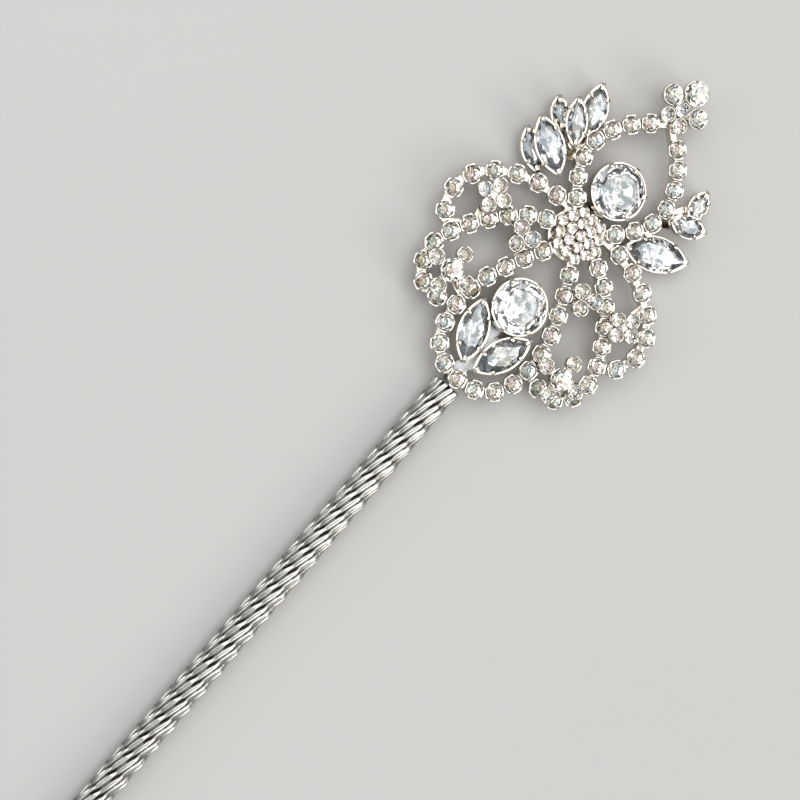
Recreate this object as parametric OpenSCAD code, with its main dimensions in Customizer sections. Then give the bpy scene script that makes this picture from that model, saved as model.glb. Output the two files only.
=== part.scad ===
// Rhinestone hair pin: a jewelled head of soldered wire outlines on a long textured shank.
// The pin lies on its back: X runs across, +Y along the shank towards the jewel, +Z out of the stones.
// The origin is on the shank's axis, where the plain land of the smooth point begins.

/* [Shank] */
// Outer diameter of the textured sleeve at the widest part of each tier
sleeve_d = 5.6; // [4.6:0.1:7]
// Length of the textured sleeve
sleeve_length = 104; // [70:1:140]
// Height of one tier of the sleeve's pattern
tier_height = 4.1; // [3:0.1:6]
// Leaf-shaped ridges round the sleeve in one tier
ridge_count = 12; // [8:1:16]
// How far each tier steps in at its lower end
tier_step = 0.45; // [0.2:0.05:0.7]
// Depth of the grooves between the ridges
groove_depth = 0.35; // [0.15:0.05:0.5]
// Turn of a ridge over one tier, in degrees
ridge_turn = 26; // [10:1:30]
// Diameter of the steel core rod inside the sleeve
rod_d = 3; // [2.4:0.1:3.2]
// Diameter of the plain cylindrical land at the head of the point
land_d = 4.4; // [4:0.1:5]
// Length of the plain land
land_length = 5; // [4:0.5:10]
// Length of the tapering point below the land
point_taper = 16; // [8:1:25]
// Radius of the blunt tip
tip_radius = 0.9; // [0.6:0.1:1.4]
// Depth of the hole in the point that takes the rod
rod_socket_depth = 4; // [2.5:0.5:6]

/* [Wire outlines] */
// Thickness of the wire strips, which stand on edge
rail_t = 1.2; // [0.9:0.1:1.5]
// Depth of the wire strips from front to back
rail_depth = 2.2; // [1.6:0.1:3]
// Height of the strips' back edges above the shank's axis, below zero when behind it
back_level = -0.6; // [-0.9:0.1:-0.4]
// Height of the teardrop's point above the hub
tear_height = 25.6; // [23:0.2:30]
// Half width of the teardrop outline
tear_half_w = 9.1; // [8.6:0.1:11]
// Reach of the upper petals to each side of the axis
upper_reach = 22.5; // [20:0.1:26]
// Depth of the upper petals' lowest turn below the hub
upper_drop = 14.2; // [13:0.2:17]
// Reach of the lower petals to each side of the axis
lower_reach = 18.8; // [17.5:0.1:21.5]
// Depth of the lower petals below the hub
lower_drop = 24.7; // [23:0.1:28]
// Half width of the inverted drop in the middle
oval_half_w = 8.8; // [8.5:0.1:9.6]
// Depth of the inverted drop below the hub
oval_drop = 32.8; // [31.4:0.2:37]

/* [Stones] */
// Diameter of the chain's round stones
chain_stone_d = 3; // [2.6:0.05:3.15]
// Spacing of the chain's stones along a wire
chain_pitch = 3.6; // [3.5:0.05:4.5]
// Diameter of the two large round stones
round_d = 9.5; // [8.6:0.1:10.6]
// Distance of the upper round stone above the hub
upper_round_y = 10.2; // [10.1:0.1:12]
// Distance of the lower round stone below the hub
lower_round_y = 16.4; // [15:0.1:17]
// Diameter of the hub's stones
hub_stone_d = 1.7; // [1.4:0.05:1.75]
// Diameter of the stones of the upper flowers
upper_flower_d = 2.3; // [2:0.05:2.9]
// Diameter of the stones of the small flowers beside the hub
mid_flower_d = 2.6; // [1.8:0.05:2.8]
// Diameter of the middle stone of the lower flowers
lower_flower_d = 3.7; // [2.8:0.05:4]
// Diameter of the stones round the lower flowers' middle stone
lower_petal_d = 2.5; // [2:0.05:2.6]
// Diameter of the stone at the very tip
tip_stone_d = 4.2; // [3.4:0.1:4.8]
// Diameter of the two side stones of the tip flower
tip_side_d = 3.3; // [2.6:0.1:3.5]
// Diameter of the two lowest stones of the tip flower and of its middle stone
tip_low_d = 2.4; // [2:0.1:2.5]
// Length of the two marquise stones in the inverted drop
belly_stone_l = 10.4; // [9:0.1:11]
// Width of the two marquise stones in the inverted drop
belly_stone_w = 5; // [4:0.1:5.2]
// Lean of those two stones from the axis, in degrees
belly_lean = 23; // [18:1:26]
// Length of the longest marquise stones of the leaves; the other leaves keep their share of it
leaf_stone_l = 11.2; // [10:0.1:12]

/* [Settings] */
// Wall thickness of the small stones' cups
cup_wall = 0.14; // [0.1:0.01:0.2]
// Floor thickness of the cups
cup_floor = 0.2; // [0.15:0.05:0.4]
// Height of a small cup's wall above its floor
cup_height = 0.8; // [0.6:0.05:1.1]
// Width of a prong
prong_w = 0.55; // [0.3:0.05:0.65]
// Width of the links between the chain's cups
link_w = 1; // [0.6:0.1:1.1]
// Wall thickness of the large settings
setting_wall = 0.35; // [0.25:0.05:0.5]
// Width of the large settings' claws
claw_w = 0.7; // [0.5:0.1:1.1]
// Thickness of the solder film between soldered pieces
solder_gap = 0.05; // [0.02:0.01:0.1]

/* [Hidden] */

left = -1;
right = 1;
round_fn = 48;
small_fn = 24;
curve_steps = 7;
clearance = 0.02;
// How far a cutting shape reaches past the solid it cuts.
overshoot = 1;

SILVER = "#d9d9dc";
STEEL = "#c4c6ca";
CRYSTAL = "#e8ebf0";
CREAM = "#f0e9dc";

// Heights of the layers, from the back edges of the wires to the tops of the stones.
rail_top = back_level + rail_depth;
plate_t = 1;
plate_back = back_level - plate_t;
rest_level = -sleeve_d / 2;
chain_cup_r = chain_stone_d / 2 + cup_wall + clearance;
chain_chamfer = 0.58 * chain_cup_r;
chain_cup_cut = chain_cup_r - chain_chamfer;
chain_cup_reach = norm([chain_cup_r, chain_cup_cut]);
rod_r = rod_d / 2;

// Where the head sits on the shank.
sleeve_start = land_length;
sleeve_end = sleeve_start + sleeve_length;
oval_outer = oval_drop + chain_cup_reach;
hub_y = sleeve_end + solder_gap + oval_outer;

// ---------------------------------------------------------------- curves

function unit(v) = v / norm(v);
function turned(v) = [-v.y, v.x];
function side_of(side, p) = [side * p.x, p.y];
function mirrored(side, path) = [for (p = path) side_of(side, p)];

// One point of a Catmull-Rom stretch from b to c.
function stretch_point(a, b, c, d, t) =
    0.5 * (2 * b + (c - a) * t + (2 * a - 5 * b + 4 * c - d) * t * t + (3 * b - a - 3 * c + d) * t * t * t);

// A smooth curve through all the points of an outline.
function smooth(pts) = let (n = len(pts) - 1) concat(
    [for (i = [0:n - 1]) for (k = [0:curve_steps - 1])
        stretch_point(
            i > 0 ? pts[i - 1] : 2 * pts[0] - pts[1], pts[i], pts[i + 1],
            i < n - 1 ? pts[i + 2] : 2 * pts[n] - pts[n - 1], k / curve_steps)],
    [pts[n]]
);

function heading(path, i) = unit(path[min(i + 1, len(path) - 1)] - path[max(i - 1, 0)]);

// The closed outline of a strip of width w along a path.
function strip(path, w) = let (n = len(path) - 1) concat(
    [for (i = [0:n]) path[i] + turned(heading(path, i)) * w / 2],
    [for (i = [n:-1:0]) path[i] - turned(heading(path, i)) * w / 2]
);

// Running length at each point of a path.
function lengths(path, i = 0, sum = 0) = i >= len(path) - 1 ? [sum]
    : concat([sum], lengths(path, i + 1, sum + norm(path[i + 1] - path[i])));

function segment_at(runs, s, i = 0) = i >= len(runs) - 2 || runs[i + 1] >= s ? i : segment_at(runs, s, i + 1);

// Point and direction, as [x, y, angle], at running length s.
function place_at(path, runs, s) = let (
    i = segment_at(runs, s),
    f = (s - runs[i]) / (runs[i + 1] - runs[i]),
    p = path[i] + f * (path[i + 1] - path[i]),
    h = path[i + 1] - path[i]
) [p.x, p.y, atan2(h.y, h.x)];

function reversed(path) = [for (i = [len(path) - 1:-1:0]) path[i]];

function cup_r_of(d) = d / 2 + cup_wall + clearance;

function total(runs) = runs[len(runs) - 1];
function point_at(path, share) = let (runs = lengths(path), q = place_at(path, runs, share * total(runs))) [q.x, q.y];

// Least distance between chain cups that are turned by the given angle, so that their near corners stay clear.
function cup_spacing(turn) = 2 * (chain_cup_r * cos(turn / 2) + chain_cup_cut * abs(sin(turn / 2))) + solder_gap;

// Running lengths of cups set along a path as close as the pitch and the path's turns allow, up to the end.
function spaced(path, runs, pitch, s, end) = let (
    turn = place_at(path, runs, s + pitch).z - place_at(path, runs, s).z,
    next = s + max(pitch, cup_spacing(abs(turn) > 180 ? 360 - abs(turn) : turn))
) next > end ? [s] : concat([s], spaced(path, runs, pitch, next, end));

pitch_step = 0.04;

// Places along a path, from s0 to s1 before its end. One more cup is set closer where it fits, and what is left
// over is shared out between the cups.
function row(path, s0, s1) = let (
    runs = lengths(path),
    end = total(runs) - s1,
    wide = spaced(path, runs, chain_pitch, s0, end),
    fuller = [
        for (pitch = [chain_pitch:-pitch_step:cup_spacing(0)])
            let (closer = spaced(path, runs, pitch, s0, end)) if (len(closer) > len(wide)) closer
    ],
    used = len(fuller) > 0 ? fuller[0] : wide,
    stretch = (end - s0) / (used[len(used) - 1] - s0)
) [for (s = used) place_at(path, runs, s0 + (s - s0) * stretch)];

// Shortest run along a path, from s on, at which a chain cup clears cups of radius r at the given places.
function clear_run(path, places, r, s) = let (
    p = place_at(path, lengths(path), s),
    nearest = min([for (q = places) norm([p.x - q.x, p.y - q.y])])
) nearest >= chain_cup_reach + r + solder_gap ? s : clear_run(path, places, r, s + 0.1);

// ---------------------------------------------------------------- outlines, hub at [0, 0]

hub_pitch = hub_stone_d + 2 * (cup_wall + clearance) + solder_gap;
hub_cup_r = (hub_pitch - solder_gap) / 2;
hub_r = 2 * hub_pitch;
// Rises of the hub's middle cup and of the six cups round it above the twelve outer cups.
hub_dome = 0.9;
hub_ring_rise = 0.5;
hub_places = concat(
    [[0, 0, hub_dome]],
    [for (a = [0:60:300]) hub_pitch * [cos(a), sin(a), 0] + [0, 0, hub_ring_rise]],
    [for (a = [0:60:300]) 2 * hub_pitch * [cos(a), sin(a), 0]],
    [for (a = [30:60:330]) sqrt(3) * hub_pitch * [cos(a), sin(a), 0]]
);

teardrop_half = smooth([
    [0.33 * tear_half_w, 0.11 * tear_height],
    [0.65 * tear_half_w, 0.225 * tear_height],
    [0.88 * tear_half_w, 0.345 * tear_height],
    [tear_half_w, 0.49 * tear_height],
    [0.92 * tear_half_w, 0.63 * tear_height],
    [0.73 * tear_half_w, 0.76 * tear_height],
    [0.4 * tear_half_w, 0.89 * tear_height],
    [0, tear_height]
]);
oval_half = smooth([
    [0.1 * oval_half_w, -0.05 * oval_drop],
    [0.28 * oval_half_w, -0.15 * oval_drop],
    [0.65 * oval_half_w, -0.34 * oval_drop],
    [0.93 * oval_half_w, -0.53 * oval_drop],
    [oval_half_w, -0.72 * oval_drop],
    [0.84 * oval_half_w, -0.89 * oval_drop],
    [0.43 * oval_half_w, -0.98 * oval_drop],
    [0, -oval_drop]
]);
lower_petal_line = smooth([
    [0.1 * lower_reach, 0],
    [0.28 * lower_reach, -0.05 * lower_drop],
    [0.55 * lower_reach, -0.175 * lower_drop],
    [0.73 * lower_reach, -0.325 * lower_drop],
    [0.89 * lower_reach, -0.5 * lower_drop],
    [0.985 * lower_reach, -0.66 * lower_drop],
    [lower_reach, -0.79 * lower_drop],
    [0.93 * lower_reach, -0.93 * lower_drop],
    [0.78 * lower_reach, -lower_drop],
    [0.62 * lower_reach, -0.99 * lower_drop],
    [oval_half_w + rail_t / 4, -0.95 * lower_drop]
]);
// The upper petal ends on the lower petal's wire, at this share of that wire's length.
petal_joint_share = 0.46;
petal_joint = point_at(lower_petal_line, petal_joint_share);
upper_petal_line = smooth([
    [0.54 * hub_r, 0.51 * hub_r],
    [1.36 * hub_r, 0.63 * hub_r],
    [0.57 * upper_reach, 0.1 * upper_drop],
    [0.78 * upper_reach, -0.06 * upper_drop],
    [0.93 * upper_reach, -0.28 * upper_drop],
    [upper_reach, -0.56 * upper_drop],
    [0.965 * upper_reach, -0.82 * upper_drop],
    [0.87 * upper_reach, -0.97 * upper_drop],
    petal_joint
]);

// Distance along a wire at which its first cup clears the hub's cups.
function start_run(path) = clear_run(path, hub_places, hub_cup_r, 0);

// The tip flower's middle, a little to the left of the axis as on the real pin, and its two lowest cups.
tip_at = [-0.8, tear_height + 2.8];
tip_low_cup = cup_r_of(tip_low_d);
tip_low_run = 2 * tip_low_cup + solder_gap;
tip_low = [for (side = [left, right]) tip_at + tip_low_run * [side * cos(58), -sin(58)]];
teardrop_row = row(
    teardrop_half,
    start_run(teardrop_half),
    clear_run(reversed(teardrop_half), concat(tip_low, mirrored(left, tip_low)), tip_low_cup, 0)
);
oval_start = start_run(oval_half);
oval_path = concat(oval_half, [for (i = [len(oval_half) - 2:-1:0]) side_of(left, oval_half[i])]);
oval_row = row(oval_path, oval_start, oval_start);
lower_start = start_run(lower_petal_line);
lower_row = row(
    lower_petal_line, lower_start, clear_run(reversed(lower_petal_line), oval_row, chain_cup_reach, 0)
);
upper_start = clear_run(
    upper_petal_line, concat(teardrop_row, lower_row), chain_cup_reach, start_run(upper_petal_line)
);
upper_row = row(
    upper_petal_line, upper_start, clear_run(reversed(upper_petal_line), lower_row, chain_cup_reach, 0)
);

// ---------------------------------------------------------------- shared shapes

module in_head() {
    translate([0, hub_y, 0]) children();
}

module layer(z0, z1) {
    translate([0, 0, z0]) linear_extrude(z1 - z0) children();
}

// A wire strip on edge, ending at the hub's boss.
module rail(path) {
    layer(back_level, rail_top) difference() {
        polygon(strip(path, rail_t));
        circle(r = hub_r + solder_gap, $fn = round_fn);
    }
}

// Round cup with four bent prongs for a stone of diameter d; its floor is at z = 0.
module cup(d) {
    inner = d / 2 + clearance;
    rim = cup_floor + cup_height;
    difference() {
        cylinder(h = rim, r = inner + cup_wall, $fn = small_fn);
        translate([0, 0, cup_floor]) cylinder(h = cup_height + overshoot, r = inner, $fn = small_fn);
    }
    for (a = [45:90:315]) rotate(a) prong(inner, inner + cup_wall, rim, d);
}

// How far the chain cups' prongs stand out of the cut corners.
prong_proud = 0.04;

// Square cup of the chain, with cut corners and a prong at each; its floor is at z = 0.
module chain_cup() {
    inner = chain_stone_d / 2 + clearance;
    half = chain_cup_r;
    cut = chain_cup_cut;
    rim = cup_floor + cup_height;
    corner = (half + cut) / sqrt(2) + prong_proud;
    difference() {
        linear_extrude(rim) polygon([
            [half, -cut], [half, cut], [cut, half], [-cut, half],
            [-half, cut], [-half, -cut], [-cut, -half], [cut, -half]
        ]);
        translate([0, 0, cup_floor]) cylinder(h = cup_height + overshoot, r = inner, $fn = small_fn);
    }
    for (a = [45:90:315]) rotate(a) prong(inner, corner, rim, chain_stone_d);
}

// A prong rises from the cup's wall, between radii inner and outer, and leans over the stone's edge.
module prong(inner, outer, rim, d) {
    grip = 0.075 * d;
    tip_t = 0.04 * d;
    root = 0.3;
    lift = 0.13 * d;
    rotate([90, 0, 0]) translate([0, 0, -prong_w / 2]) linear_extrude(prong_w) polygon([
        [inner, rim - root],
        [outer, rim - root],
        [outer, rim + 0.4 * lift],
        [inner - grip, rim + lift],
        [inner - grip - tip_t, rim + 0.8 * lift],
        [inner, rim + 0.25 * lift]
    ]);
}

// Small round stone with eight crown and eight pavilion facets; its girdle is at z = 0.
module chaton(d) {
    table = 0.56;
    crown = 0.17 * d;
    pavilion = min(0.4 * d, cup_height - 2 * clearance);
    n = 8;
    ring = [for (k = [0:n - 1]) [cos(k * 45) * d / 2, sin(k * 45) * d / 2, 0]];
    top = [for (k = [0:n - 1]) [cos(k * 45 + 22.5) * table * d / 2, sin(k * 45 + 22.5) * table * d / 2, crown]];
    polyhedron(
        points = concat(ring, top, [[0, 0, -pavilion]]),
        faces = concat(
            [[for (k = [n - 1:-1:0]) n + k]],
            [for (k = [0:n - 1]) [k, n + k, (k + 1) % n]],
            [for (k = [0:n - 1]) [(k + 1) % n, n + k, n + (k + 1) % n]],
            [for (k = [0:n - 1]) [k, (k + 1) % n, 2 * n]]
        )
    );
}

// Height of a small stone's girdle above the bottom of its cup.
function girdle_of() = cup_floor + cup_height - clearance;

// Point of a lens-shaped outline, l long along X and w wide; a round one when l = w.
function lens_point(a, l, w) = let (
    radius = (l * l + w * w) / (4 * w),
    x = cos(a) * l / 2
) [x, (sqrt(radius * radius - x * x) - radius + w / 2) * (sin(a) < 0 ? -1 : 1)];
function lens(l, w, n) = [for (k = [0:n - 1]) lens_point(k * 360 / n, l, w)];

// Full-cut stone, l long and w wide, girdle at z = 0: table, stars, kites and girdle facets.
module brilliant(l, w, crown, pavilion) {
    table = 0.62;
    n = 8;
    girdle = [for (k = [0:2 * n - 1]) each [concat(lens_point(k * 22.5, l, w), 0)]];
    top = [for (k = [0:n - 1]) concat(table * lens_point(k * 45, l, w), crown)];
    star = [for (k = [0:n - 1]) concat(0.82 * lens_point(k * 45 + 22.5, l, w), 0.56 * crown)];
    low = [for (k = [0:n - 1]) concat(0.3 * lens_point(k * 45 + 22.5, l, w), -0.72 * pavilion)];
    T = 2 * n;
    S = 3 * n;
    L = 4 * n;
    C = 5 * n;
    polyhedron(
        points = concat(girdle, top, star, low, [[0, 0, -pavilion]]),
        faces = concat(
            [[for (k = [n - 1:-1:0]) T + k]],
            [for (k = [0:n - 1]) [T + k, T + (k + 1) % n, S + k]],
            [for (k = [0:n - 1]) [T + k, S + k, S + (k + n - 1) % n]],
            [for (k = [0:n - 1]) [S + (k + n - 1) % n, S + k, 2 * k]],
            [for (k = [0:n - 1]) [S + k, 2 * k + 1, 2 * k]],
            [for (k = [0:n - 1]) [S + k, (2 * k + 2) % (2 * n), 2 * k + 1]],
            [for (k = [0:n - 1]) [C, L + (k + n - 1) % n, L + k]],
            [for (k = [0:n - 1]) [L + (k + n - 1) % n, 2 * k, L + k]],
            [for (k = [0:n - 1]) [L + k, 2 * k, 2 * k + 1]],
            [for (k = [0:n - 1]) [L + k, 2 * k + 1, (2 * k + 2) % (2 * n)]]
        )
    );
}

// Thickness of a link as a share of a cup's floor.
link_share = 0.7;

// A run of cup chain: one cup at each place, linked floor to floor.
module cups_along(places) {
    for (p = places) translate([p.x, p.y, rail_top]) rotate(p.z) chain_cup();
    for (i = [1:len(places) - 1]) translate([0, 0, rail_top]) linear_extrude(link_share * cup_floor)
        polygon(strip([[places[i - 1].x, places[i - 1].y], [places[i].x, places[i].y]], link_w));
}

module stones_along(places) {
    for (p = places) translate([p.x, p.y, rail_top + girdle_of()]) rotate(p.z) chaton(chain_stone_d);
}

function mirrored_row(side, places) = [for (p = places) [side * p.x, p.y, side > 0 ? p.z : 180 - p.z]];

// ---------------------------------------------------------------- shank

tang_top = back_level;
lower_round_at = -lower_round_y;

module core_rod() {
    color(STEEL) union() {
        translate([0, land_length - rod_socket_depth, 0]) rotate([-90, 0, 0])
            cylinder(h = sleeve_end - land_length + rod_socket_depth, r = rod_r, $fn = round_fn);
        difference() {
            translate([0, sleeve_end, 0]) rotate([-90, 0, 0])
                cylinder(h = hub_y + lower_round_at - sleeve_end, r = rod_r, $fn = round_fn);
            translate([-rod_r - overshoot, sleeve_end - overshoot, tang_top])
                cube([rod_d + 2 * overshoot, hub_y - sleeve_end, rod_d]);
            translate([0, hub_y + lower_round_at, rest_level - overshoot])
                cylinder(h = sleeve_d + 2 * overshoot, r = basket_foot_r + solder_gap, $fn = round_fn);
        }
    }
}

// Shares of one ridge's pitch and of the groove depth that make its leaf-like section.
ridge_shares = [0, 0.3, 0.72];
ridge_dips = [1, 0, 0.25];

function sleeve_ring(y, r, dip, turn) = [for (k = [0:ridge_count - 1]) for (j = [0:2]) let (
    a = (k + ridge_shares[j]) * 360 / ridge_count + turn,
    q = r - dip * ridge_dips[j]
) [q * sin(a), y, q * cos(a)]];
function bore_ring(y, r) = [for (k = [0:ridge_count - 1]) for (j = [0:2]) let (
    a = (k + ridge_shares[j]) * 360 / ridge_count
) [r * sin(a), y, r * cos(a)]];

module shank_sleeve() {
    tiers = round(sleeve_length / tier_height);
    step = sleeve_length / tiers;
    m = 3 * ridge_count;
    bore_r = (rod_r + clearance) / cos(0.21 * 360 / ridge_count);
    rings = concat(
        [bore_ring(sleeve_start, bore_r)],
        [for (t = [0:tiers - 1]) each [
            sleeve_ring(sleeve_start + t * step, sleeve_d / 2 - tier_step, groove_depth / 2, 0),
            sleeve_ring(sleeve_start + (t + 1) * step, sleeve_d / 2, groove_depth, ridge_turn)
        ]],
        [bore_ring(sleeve_end, bore_r)]
    );
    n = len(rings);
    color(SILVER) polyhedron(
        points = [for (ring = rings) each ring],
        faces = [for (i = [0:n - 1]) for (k = [0:m - 1]) let (
            a = i * m + k,
            b = i * m + (k + 1) % m,
            c = ((i + 1) % n) * m + (k + 1) % m,
            d = ((i + 1) % n) * m + k
        ) each [[a, c, b], [a, d, c]]]
    );
}

module shank_point() {
    socket_r = rod_r + clearance;
    color(SILVER) rotate([-90, 0, 0]) rotate_extrude($fn = round_fn) polygon(concat(
        [[0, -point_taper - tip_radius * 0.2]],
        [for (a = [-75:15:0]) [tip_radius * cos(a), -point_taper + tip_radius * sin(a)]],
        [
            [land_d / 2, 0],
            [land_d / 2, land_length - solder_gap],
            [socket_r, land_length - solder_gap],
            [socket_r, land_length - rod_socket_depth - clearance],
            [0, land_length - rod_socket_depth - clearance]
        ]
    ));
}

// ---------------------------------------------------------------- wire outlines with their stones

module teardrop_rail() {
    color(SILVER) in_head() rail(concat(
        teardrop_half,
        [for (i = [len(teardrop_half) - 2:-1:0]) side_of(left, teardrop_half[i])]
    ));
}

module teardrop_cups() {
    color(SILVER) in_head() for (side = [left, right]) cups_along(mirrored_row(side, teardrop_row));
}

module teardrop_stones() {
    color(CREAM) in_head() for (side = [left, right]) stones_along(mirrored_row(side, teardrop_row));
}

module oval_rail() {
    color(SILVER) in_head() rail(oval_path);
}

module oval_cups() {
    color(SILVER) in_head() cups_along(oval_row);
}

module oval_stones() {
    color(CREAM) in_head() stones_along(oval_row);
}

module upper_petal_rail(side) {
    color(SILVER) in_head() layer(back_level, rail_top) difference() {
        polygon(strip(mirrored(side, upper_petal_line), rail_t));
        circle(r = hub_r + solder_gap, $fn = round_fn);
        polygon(strip(mirrored(side, lower_petal_line), rail_t + 2 * solder_gap));
        polygon(strip(mirrored(side, teardrop_half), rail_t + 2 * solder_gap));
    }
}

module lower_petal_rail(side) {
    color(SILVER) in_head() layer(back_level, rail_top) difference() {
        polygon(strip(mirrored(side, lower_petal_line), rail_t));
        circle(r = hub_r + solder_gap, $fn = round_fn);
        polygon(strip(oval_path, rail_t + 2 * solder_gap));
    }
}

module upper_petal_cups(side) {
    color(SILVER) in_head() cups_along(mirrored_row(side, upper_row));
}

module upper_petal_stones(side) {
    color(CREAM) in_head() stones_along(mirrored_row(side, upper_row));
}

module lower_petal_cups(side) {
    color(SILVER) in_head() cups_along(mirrored_row(side, lower_row));
}

module lower_petal_stones(side) {
    color(CREAM) in_head() stones_along(mirrored_row(side, lower_row));
}

// ---------------------------------------------------------------- hub

hub_tongue_w = 4;

module hub_plate() {
    color(SILVER) in_head() union() {
        translate([0, 0, plate_back]) cylinder(h = plate_t, r = hub_r + rail_t / 2, $fn = round_fn);
        translate([0, 0, back_level]) cylinder(h = rail_depth, r = hub_r, $fn = round_fn);
        translate([0, 0, rail_top])
            cylinder(h = hub_ring_rise, r = sqrt(3) * hub_pitch - hub_cup_r - solder_gap, $fn = small_fn);
        translate([0, 0, rail_top]) cylinder(h = hub_dome, r = hub_cup_r - solder_gap, $fn = small_fn);
        layer(plate_back, back_level) difference() {
            translate([-hub_tongue_w / 2, 0]) square([hub_tongue_w, upper_round_y]);
            translate([0, upper_round_y]) circle(r = basket_foot_r + solder_gap, $fn = round_fn);
        }
    }
}

module hub_cups() {
    color(SILVER) in_head() for (p = hub_places) translate([p.x, p.y, rail_top + p.z]) cup(hub_stone_d);
}

module hub_stones() {
    color(CREAM) in_head() for (p = hub_places)
        translate([p.x, p.y, rail_top + p.z + girdle_of()]) chaton(hub_stone_d);
}

// ---------------------------------------------------------------- tip cluster

tip_plate_t = 0.8;
// The plate's foot stands behind it, this far above the teardrop's point.
tip_foot_y = tear_height + rail_t + 0.6;
tip_foot = [2.2, 2];
tip_base = rail_top + tip_plate_t;
tip_side_run = tip_low_cup + cup_r_of(tip_side_d) + solder_gap;
// Place and stone diameter of each stone of the flower.
tip_places = [
    [tip_at, tip_low_d],
    [tip_at + [0, tip_low_cup + cup_r_of(tip_stone_d) + 4 * solder_gap], tip_stone_d],
    [tip_at + tip_side_run * [cos(14), sin(14)], tip_side_d],
    [tip_at + tip_side_run * [-cos(14), sin(14)], tip_side_d],
    [tip_low[0], tip_low_d],
    [tip_low[1], tip_low_d]
];

module tip_plate() {
    rib_w = 1.8;
    color(SILVER) in_head() union() {
        layer(rail_top, tip_base) for (p = tip_places) {
            translate(p[0]) circle(d = p[1], $fn = small_fn);
            if (p[0] != tip_at) polygon(strip([tip_at, p[0]], rib_w));
        }
        layer(back_level, rail_top) translate([-tip_foot.x / 2, tip_foot_y]) square(tip_foot);
    }
}

module tip_cups() {
    color(SILVER) in_head() for (p = tip_places) translate([p[0].x, p[0].y, tip_base]) cup(p[1]);
}

module tip_stones() {
    color(CREAM) in_head() for (p = tip_places)
        translate([p[0].x, p[0].y, tip_base + girdle_of()]) chaton(p[1]);
}

// ---------------------------------------------------------------- large round stones

basket_foot_r = 3;
round_girdle = 3;
round_crown = 0.155 * round_d;
round_pavilion = 0.4 * round_d;
basket_r = round_d / 2 + clearance + setting_wall;

// Turned basket on a foot, with a seat for the stone's girdle and six claws.
module round_setting(y) {
    inner = round_d / 2 + clearance;
    seat_step = 0.3;
    seat = inner - seat_step;
    rim = round_girdle + 0.35;
    floor_top = rest_level + 0.5;
    throat = 1.4;
    translate([0, y, 0]) union() {
        rotate_extrude($fn = round_fn) polygon([
            [0, rest_level],
            [basket_foot_r, rest_level],
            [basket_foot_r, back_level],
            [basket_r, rail_top - 0.4],
            [basket_r, rim],
            [inner, rim],
            [inner, round_girdle - 0.05],
            [seat, round_girdle - 0.05 - seat_step],
            [seat, rail_top],
            [basket_foot_r - setting_wall, floor_top + throat],
            [basket_foot_r - setting_wall, floor_top],
            [0, floor_top]
        ]);
        for (a = [30:60:330]) rotate(a) round_claw(inner, rim);
    }
}

module round_claw(inner, rim) {
    rotate([90, 0, 0]) translate([0, 0, -claw_w / 2]) linear_extrude(claw_w) polygon([
        [basket_r - 0.1, rail_top - 0.2],
        [basket_r + 0.15, rail_top - 0.2],
        [basket_r + 0.15, rim + 0.15],
        [basket_r - 0.35, rim + 0.6],
        [inner - 0.55, rim + 0.52],
        [inner - 0.45, rim + 0.25],
        [basket_r - 0.1, rim]
    ]);
}

module upper_round_setting() {
    color(SILVER) in_head() round_setting(upper_round_y);
}

module upper_round_stone() {
    color(CRYSTAL) in_head() translate([0, upper_round_y, round_girdle])
        brilliant(round_d, round_d, round_crown, round_pavilion);
}

module lower_round_setting() {
    color(SILVER) in_head() round_setting(lower_round_at);
}

module lower_round_stone() {
    color(CRYSTAL) in_head() translate([0, lower_round_at, round_girdle])
        brilliant(round_d, round_d, round_crown, round_pavilion);
}

// ---------------------------------------------------------------- marquise stones

lens_fn = 32;
setting_floor = 0.4;

// Deep marquise cup of the given height, floor at z = 0, with a V claw on each point.
module navette_setting(l, w, height) {
    inner_l = l + 2 * clearance;
    inner_w = w + 2 * clearance;
    outer_l = inner_l + 4 * setting_wall;
    outer_w = inner_w + 2 * setting_wall;
    rim = height + 0.1;
    difference() {
        linear_extrude(rim) polygon(lens(outer_l, outer_w, lens_fn));
        translate([0, 0, setting_floor]) linear_extrude(rim) polygon(lens(inner_l, inner_w, lens_fn));
    }
    for (end = [0, 180]) rotate(end) point_claw(inner_l / 2, outer_l / 2, rim);
    for (end = [0, 180]) for (flip = [0, 1]) mirror([0, flip, 0]) rotate(end)
        side_claw(lens_point(58, inner_l, inner_w), rim);
}

module point_claw(inner, outer, rim) {
    rotate([90, 0, 0]) translate([0, 0, -claw_w / 2]) linear_extrude(claw_w) polygon([
        [inner + 0.25, rim - 0.6],
        [outer, rim - 0.6],
        [outer, rim + 0.3],
        [inner + 0.1, rim + claw_rise],
        [inner - 0.6, rim + claw_rise - 0.1],
        [inner - 0.5, rim + 0.4],
        [inner + 0.25, rim + 0.1]
    ]);
}

module side_claw(at, rim) {
    w = 0.6;
    translate([at.x - w / 2, at.y, 0]) rotate([90, 0, 90]) linear_extrude(w) polygon([
        [0.05, rim - 0.6],
        [setting_wall, rim - 0.6],
        [setting_wall, rim + 0.3],
        [-0.05, rim + 0.55],
        [-0.4, rim + 0.5],
        [-0.3, rim + 0.3],
        [0.05, rim]
    ]);
}

// Marquise stone whose back stays clear of the floor of a setting of the given height.
module navette(l, w, height) {
    brilliant(l, w, 0.16 * w, min(0.3 * w, height - setting_floor - clearance));
}

// The two marquise settings of the belly: half the space between them at their middles, and the distance from
// the lower round setting to their middles.
belly_half_gap = 0.62;
belly_drop = 3.15;
belly_height = 2.9;
belly_at = [
    belly_half_gap + belly_stone_w / 2 + setting_wall,
    lower_round_at - round_d / 2 - setting_wall - belly_drop
];

module belly_settings() {
    color(SILVER) in_head() for (side = [left, right])
        translate([side * belly_at.x, belly_at.y, back_level + solder_gap])
            rotate(90 - side * belly_lean) navette_setting(belly_stone_l, belly_stone_w, belly_height);
}

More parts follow.
